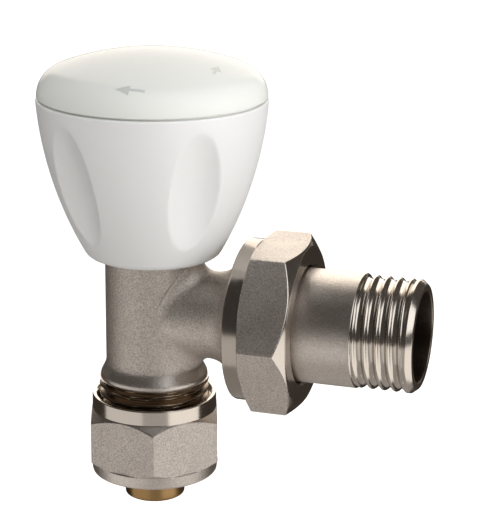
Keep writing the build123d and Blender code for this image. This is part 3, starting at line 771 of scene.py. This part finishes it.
def body_of_valve():
    seat_hole, insert_socket, chamber, bonnet_socket = 4.8, 7.0, 7.3, 7.6
    outlet_hole, tail_socket = 5.5, 8.35
    past = 1.0
    seat = outlet_z - 6.0
    insert_stop = body_foot + 7.4
    bonnet_foot = barrel_top - 8.0
    tail_stop = body_end - 4.05
    neck = threaded_neck()
    outlet = turned_bar(outlet_hole, 0, body_end + past)
    mouth = turned_bar(tail_socket, tail_stop, body_end + past)
    for turned in (neck, outlet, mouth):
        turned.transform(ON_OUTLET)
    passages = [
        turned_bar(seat_hole, body_foot - past, seat + past),
        turned_bar(insert_socket, body_foot - past, insert_stop),
        turned_bar(chamber, seat, bonnet_foot + 0.1),
        turned_bar(bonnet_socket, bonnet_foot, barrel_top + past),
        # The outlet opens into the chamber, and not below the seat
        joined(outlet, turned_bar(12.0, body_foot, seat), "DIFFERENCE"),
        mouth,
    ]
    mesh = joined(threaded_barrel(), neck, "UNION")
    for passage in passages:
        mesh = joined(mesh, passage, "DIFFERENCE")
    return mesh


def body_finish(centre, normal):
    if centre.x > FLARE_END - 0.1:
        return 1
    if centre.z < FOOT_THREAD_TOP:
        return 2
    return 3 if centre.z < BARREL_START else 0


piece(
    "valve_body_cast", body_of_valve(), UPRIGHT, "body_assembly", "valve_body",
    [nickel_blasted, nickel_turned_x, nickel_thread_painted_shade, nickel_satin], body_finish,
)


def seal_groove(radius, depth, seal, half):
    """Corners of a groove for an O-ring, whose middle is at a height."""
    low, high, floor = seal - half, seal + half, radius - depth
    return [(radius, low), (floor, low), (floor, high), (radius, high)]


# Tailpiece: a tube with a flange inside the union nut, an outside thread, and a hexagon inside for its key
TAIL_SEAT = body_end + 0.05
FLANGE_BACK = TAIL_SEAT + 2.7
TAIL_THREAD_START = FLANGE_BACK + 13.8
TAIL_THREAD_END = TAIL_THREAD_START + 9.7
TAIL_BORE = 8.42


def tail():
    spigot, flange, tube, key_bore, key = 8.3, 12.0, 10.65, 5.6, 13.0
    end_run, end_drop = 1.1, 0.9
    spigot_start = TAIL_SEAT - 4.0
    mouth_floor = tail_end - 12.0
    blank = lathe(
        [
            (key_bore, spigot_start),
            (spigot, spigot_start, 0.2),
            *seal_groove(spigot, 1.5, TAIL_SEAT - 2.0, 0.78),
            (spigot, TAIL_SEAT),
            (flange, TAIL_SEAT, 0.3),
            (flange, FLANGE_BACK, 0.3),
            (tube, FLANGE_BACK),
            (tube, TAIL_THREAD_START, 0.15),
            (HALF_INCH, TAIL_THREAD_START + 0.1),
            (HALF_INCH, TAIL_THREAD_END),
            (HALF_INCH, tail_end - end_run, 0.15),
            (HALF_INCH - end_drop, tail_end, 0.2),
            (TAIL_BORE, tail_end, 0.2),
            (TAIL_BORE, mouth_floor),
            (key_bore, mouth_floor),
        ],
        sides=360,
        step=1.0,
        fine=(TAIL_THREAD_START, TAIL_THREAD_END, 9.0, 0.09),
    )
    threaded = shaped(
        blank,
        screw_thread,
        major_radius=HALF_INCH,
        depth=TAIL_DEPTH,
        pitch=TAIL_PITCH,
        crest=1.8,
        low=TAIL_THREAD_START + 0.1,
        high=TAIL_THREAD_END,
        fade_in=0.3,
        fade_out=0.3,
        inner_limit=9.2,
    )
    key_hole = turned_bar(key / sqrt(3), mouth_floor - 9.0, mouth_floor + 1.0, sides=6)
    return joined(threaded, key_hole, "DIFFERENCE")


def tail_finish(centre, normal):
    if hypot(centre.x, centre.y) < TAIL_BORE + 0.18:
        return 2
    return 0 if centre.z < TAIL_THREAD_START - 0.05 else 1


piece(
    "radiator_tailpiece", tail(), ALONG, "radiator_tail", "tailpiece",
    [nickel_satin, nickel_turned_x, nickel_bored_painted_shade], tail_finish,
)


# The two nuts: turned blanks with six flats, whose chamfers leave the scalloped edges of the hexagon
def hexagon_nut(section, across, corner_angle, low, high, inner_limit):
    return shaped(
        lathe(section, sides=360, step=0.15),
        hex_flats,
        across_flats=across,
        corner_angle=radians(corner_angle),
        softness=0.2,
        low=low,
        high=high,
        inner_limit=inner_limit,
    )


UNION_COLLAR_END = union_start + 2.85
UNION_HOLE = 11.05


def union_ring_nut():
    across, collar, end, bore, hole_chamfer = 30.0, 15.2, 14.6, 13.28, 0.4
    corner = across / sqrt(3)
    collar_chamfer, end_chamfer = tan(radians(20.0)), tan(radians(33.0))
    lip = union_end - 3.15
    section = [
        (bore, union_start, 0.3),
        (collar, union_start, 0.4),
        (collar, UNION_COLLAR_END),
        (corner - 0.05, UNION_COLLAR_END + (corner - collar) * collar_chamfer),
        (corner - 0.05, union_end - (corner - end) * end_chamfer),
        (end, union_end, 0.25),
        (UNION_HOLE + hole_chamfer, union_end, 0.1),
        (UNION_HOLE, union_end - hole_chamfer, 0.1),
        (UNION_HOLE, lip),
        (bore, lip),
    ]
    return hexagon_nut(section, across, -27.0, UNION_COLLAR_END + 0.02, union_end - 0.01, 14.0)


# Faces that lean along the axis are the nuts' turned chamfers and ends
LEANING = 0.3


def union_finish(centre, normal):
    if hypot(centre.x, centre.y) < UNION_HOLE + 0.55:
        return 2
    if centre.z < UNION_COLLAR_END + 0.05:
        return 1
    return 3 if abs(normal.z) > LEANING else 0


piece(
    "union_ring_nut", union_ring_nut(), ALONG, "union_ring", "union_nut",
    [nickel_blasted, nickel_collar_painted_shade, nickel_bored_painted_shade, nickel_turned_x], union_finish,
)

NUT_COLLAR_FOOT = nut_top - 2.9
NUT_BAND_TOP = nut_foot + 2.4


def pipe_compression_nut():
    across, collar, band, band_foot = 24.0, 11.9, 12.35, 12.0
    bore, thread, relief, thread_chamfer = 8.25, 10.54, 9.6, 0.7
    corner = across / sqrt(3)
    chamfer = tan(radians(36.0))
    cone_foot = nut_foot + 1.7
    thread_foot = body_foot - 1.7
    section = [
        (bore, nut_foot, 0.2),
        (band_foot, nut_foot, 0.3),
        (band, NUT_BAND_TOP),
        (corner - 0.05, NUT_BAND_TOP + (corner - band) * chamfer),
        (corner - 0.05, NUT_COLLAR_FOOT - (corner - collar) * chamfer),
        (collar, NUT_COLLAR_FOOT, 0.1),
        (collar, nut_top, 0.25),
        (thread + thread_chamfer, nut_top, 0.1),
        (thread, nut_top - thread_chamfer),
        (thread, thread_foot),
        (relief, thread_foot),
        (relief, cone_foot + 2.6),
        (bore, cone_foot),
    ]
    return hexagon_nut(section, across, 19.0 - 90, NUT_BAND_TOP + 0.02, NUT_COLLAR_FOOT - 0.02, 11.0)


def nut_finish(centre, normal):
    if hypot(centre.x, centre.y) < 11.0 or centre.z > NUT_COLLAR_FOOT - 0.05:
        return 1
    return 2 if centre.z < NUT_BAND_TOP or normal.z > LEANING else 0


piece(
    "pipe_compression_nut", pipe_compression_nut(), UPRIGHT, "pipe_nut", "compression_nut",
    [nickel_blasted, nickel_turned_z, nickel_satin], nut_finish,
)


# Pipe insert: turned spigot with two seal grooves, a flange and a grooved pilot inside the body
def insert():
    bore, spigot, flange, pilot = 4.1, 5.75, 9.0, 6.95
    flange_foot, flange_top = body_foot - 1.05, body_foot - 0.05
    section = [
        (bore, insert_foot, 0.3),
        (spigot, insert_foot, 0.45),
        *seal_groove(spigot, 1.2, insert_foot + 6.6, 0.63),
        *seal_groove(spigot, 1.2, insert_foot + 8.8, 0.63),
        (spigot, flange_foot),
        (flange, flange_foot),
        (flange, flange_top),
        (pilot, flange_top),
        *seal_groove(pilot, 1.5, body_foot + 2.6, 0.78),
        (pilot, insert_top, 0.3),
        (bore, insert_top, 0.3),
    ]
    return lathe(section, sides=192, step=1.0)


piece("pipe_insert_spigot", insert(), UPRIGHT, "insert_assembly", "pipe_insert", [brass])

# Camera at the photograph's viewing angle, for an image of 489 x 529 pixels
CAMERA_AZIMUTH = 17.26
CAMERA_ELEVATION = 16.89
CAMERA_ROLL = 0.45
CAMERA_DISTANCE = 0.350
CAMERA_TARGET = Vector((0.01796, 0, 0.01045 + outlet_z * MM))
FOCAL_PIXELS = 1883.99
IMAGE_HEIGHT = 529
# The stage surrounds the valve, which hangs from its pipe well above a pale floor
STAGE_CENTRE = Vector((0.018, 0, 0.047))
FLOOR_Z = -0.06
SOFTBOX_SIDE, SOFTBOX_DISTANCE = 0.7, 1.0


def way_out(azimuth, elevation):
    """Way from the valve, in degrees: azimuth 0 is towards the camera, 90 to its right, and elevation 90 is up."""
    turn, rise = radians(CAMERA_AZIMUTH + azimuth), radians(elevation)
    return Vector((sin(turn) * cos(rise), -cos(turn) * cos(rise), sin(rise)))


def photograph_camera():
    back = way_out(0, CAMERA_ELEVATION)
    right = Vector((-back.y, back.x, 0)).normalized()
    turn = Matrix((right, back.cross(right), back)).transposed().to_4x4()
    roll = Matrix.Rotation(radians(CAMERA_ROLL), 4, "Z")
    data = bpy.data.cameras.new("photograph_camera")
    data.sensor_fit = "VERTICAL"
    data.sensor_height = 36.0
    data.lens = FOCAL_PIXELS / IMAGE_HEIGHT * data.sensor_height
    data.clip_start = 0.01
    camera = bpy.data.objects.new("photograph_camera", data)
    scene.collection.objects.link(camera)
    camera.matrix_world = Matrix.Translation(CAMERA_TARGET + back * CAMERA_DISTANCE) @ turn @ roll
    scene.camera = camera


def background_rays(tree):
    """1 for the rays that show the background: those to the camera, and those off metal or through glass."""
    ray = add(tree, "ShaderNodeLightPath")
    sides = {0: ray.outputs["Is Glossy Ray"], 1: ray.outputs["Is Transmission Ray"]}
    mirrored = add(tree, "ShaderNodeMath", sides, operation="MAXIMUM")
    return add(tree, "ShaderNodeMath", {0: ray.outputs["Is Camera Ray"], 1: mirrored}, operation="MAXIMUM")


def white_room(ambient):
    """White as a background, and an even light on things."""
    world = bpy.data.worlds.new("white_room")
    scene.world = world
    world.use_nodes = True
    tree = world.node_tree
    tree.nodes.clear()
    light = add(tree, "ShaderNodeBackground", {"Color": linear("#FAFAFA"), "Strength": ambient})
    white = add(tree, "ShaderNodeBackground", {"Color": (1, 1, 1, 1), "Strength": 1.0})
    both = add(tree, "ShaderNodeMixShader", {0: background_rays(tree), 1: light, 2: white})
    add(tree, "ShaderNodeOutputWorld", {"Surface": both})


def stage_sheet(name, corners, faces, material):
    mesh = bpy.data.meshes.new(name)
    mesh.from_pydata(corners, [], faces)
    mesh.materials.append(material)
    sheet = bpy.data.objects.new(name, mesh)
    scene.collection.objects.link(sheet)
    return sheet


def pale_floor(reach, glow):
    """Floor of white paint, which glows a little for the camera so that it stays white far away."""
    colours = {"Base_Color": linear("#E9E7E4"), "Emission_Color": (1, 1, 1, 1)}
    material, tree, shader = finish("floor_painted_white", Roughness=0.7, **colours)
    shine = add(tree, "ShaderNodeMath", {0: background_rays(tree), 1: glow}, operation="MULTIPLY")
    tree.links.new(shine.outputs[0], shader.inputs["Emission Strength"])
    corners = [(x * reach, y * reach, FLOOR_Z) for x, y in ((-1, -1), (1, -1), (1, 1), (-1, 1))]
    stage_sheet("floor", corners, [(0, 1, 2, 3)], material)


def mirror_card(name, shade, strength, azimuths, elevations, far=1.6):
    """Glowing card that only reflections show: painted light or shade in reflections, between two azimuths and two
    elevations of its way out.

    Below the horizon it lies on the floor.
    """
    material = finish(
        name,
        Base_Color=(0, 0, 0, 1),
        Roughness=1.0,
        Specular_IOR_Level=0.0,
        Emission_Color=linear(shade),
        Emission_Strength=strength,
    )[0]
    drop = STAGE_CENTRE.z - FLOOR_Z - 0.0005
    corners, faces = [], []
    columns, rows = 24, 16
    for elevation in np.linspace(*elevations, rows + 1):
        for azimuth in np.linspace(*azimuths, columns + 1):
            way = way_out(azimuth, elevation)
            reach = min(far, drop / -way.z) if way.z < 0 else far
            corners.append(STAGE_CENTRE + way * reach)
    for row in range(rows):
        for column in range(columns):
            corner = row * (columns + 1) + column
            faces.append((corner, corner + 1, corner + columns + 2, corner + columns + 1))
    card = stage_sheet(name, corners, faces, material)
    card.visible_camera = False
    card.visible_diffuse = False
    card.visible_shadow = False
    card.visible_transmission = False


def softbox(name, azimuth, elevation, power):
    """White area lamp that faces the valve, and that reflections don't show."""
    back = way_out(azimuth, elevation)
    data = bpy.data.lights.new(name, "AREA")
    data.shape = "RECTANGLE"
    data.size = data.size_y = SOFTBOX_SIDE
    data.energy = power
    lamp = bpy.data.objects.new(name, data)
    scene.collection.objects.link(lamp)
    lamp.location = STAGE_CENTRE + back * SOFTBOX_DISTANCE
    lamp.rotation_euler = back.to_track_quat("Z", "Y").to_euler()
    lamp.visible_camera = False
    lamp.visible_glossy = False


photograph_camera()
white_room(0.395)
pale_floor(6.0, 0.7)
# Painted reflections: cards that glow only for reflections. The dim ones paint dark reflections in front, overhead,
# left and right; the bright ones paint a bright reflection behind and a window on the right; the floor cards paint
# its shade in front, its light to the right and left, and the valve's shadow behind and under it.
mirror_card("dark_room_front", "#FFF4EC", 0.07, (-115, 115), (-8, 89))
mirror_card("dark_room_overhead", "#FFF4EC", 0.07, (115, 245), (60, 89))
mirror_card("cream_wall_behind", "#FFF6EA", 2.2, (156, 204), (0, 60))
mirror_card("dark_wall_left", "#FFF0E4", 0.09, (204, 245), (0, 60))
mirror_card("dark_wall_right", "#FFF0E4", 0.09, (115, 156), (0, 60))
mirror_card("brown_floor_behind", "#FFE8D4", 0.05, (92, 262), (-50, -1))
mirror_card("shaded_floor_front", "#FFFBF6", 0.5, (-24, 24), (-50, -8))
mirror_card("lit_floor_right", "#FFFBF6", 1.3, (24, 92), (-50, -8))
mirror_card("lit_floor_left", "#FFFBF6", 0.82, (-98, -24), (-50, -8))
mirror_card("dark_floor_under", "#FFF8F2", 0.4, (-180, 180), (-88, -50))
mirror_card("window_right", "#FFFFFF", 1.6, (28, 84), (10, 62), 1.5)
softbox("key_softbox", 68, 10, 6.0)
softbox("front_softbox", 0, 55, 3.4)
